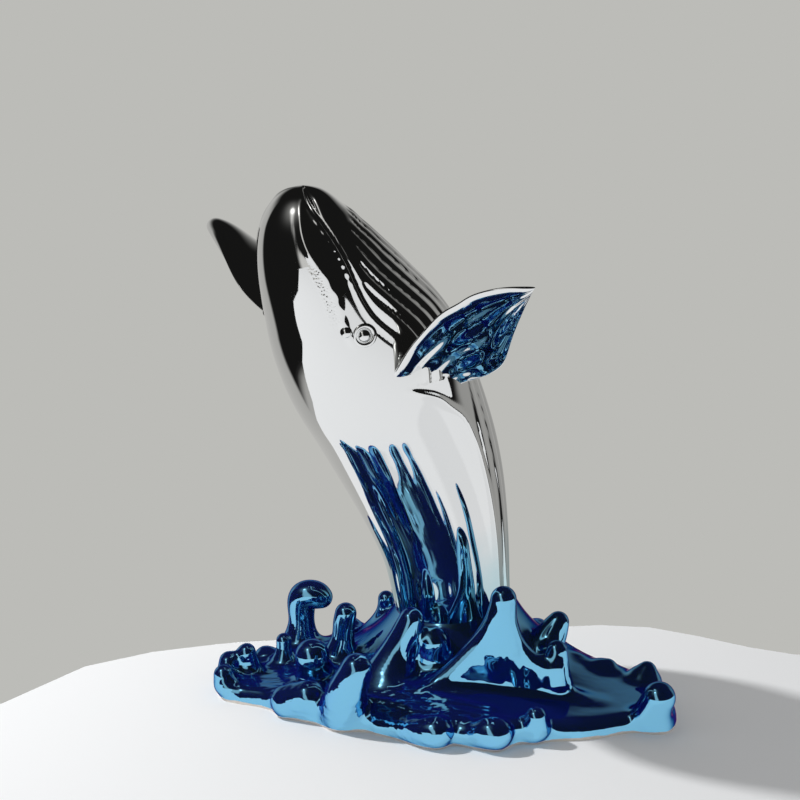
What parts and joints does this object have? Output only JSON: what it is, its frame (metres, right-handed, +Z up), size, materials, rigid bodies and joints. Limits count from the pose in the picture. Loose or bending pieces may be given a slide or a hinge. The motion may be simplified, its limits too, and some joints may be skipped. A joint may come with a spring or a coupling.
{
  "type": "resin whale sculpture",
  "caption": "Free-standing resin figurine: a chrome humpback whale leaping from a blue chrome splash of water, cast in one piece on a flat foot.",
  "frame": {"origin": "middle of the footprint's bounding box, on the table", "axes": "+Z up, along the whale's rise; +X to the right along the splash's long side, seen from the front; -Y faces the viewer in the picture"},
  "size_m": [0.2532, 0.1994, 0.2931],
  "materials": {
    "chrome_plated_resin": "polished"
  },
  "bodies": {
    "root": {"whale_sculpture": "chrome_plated_resin"}
  },
  "joints": []
}
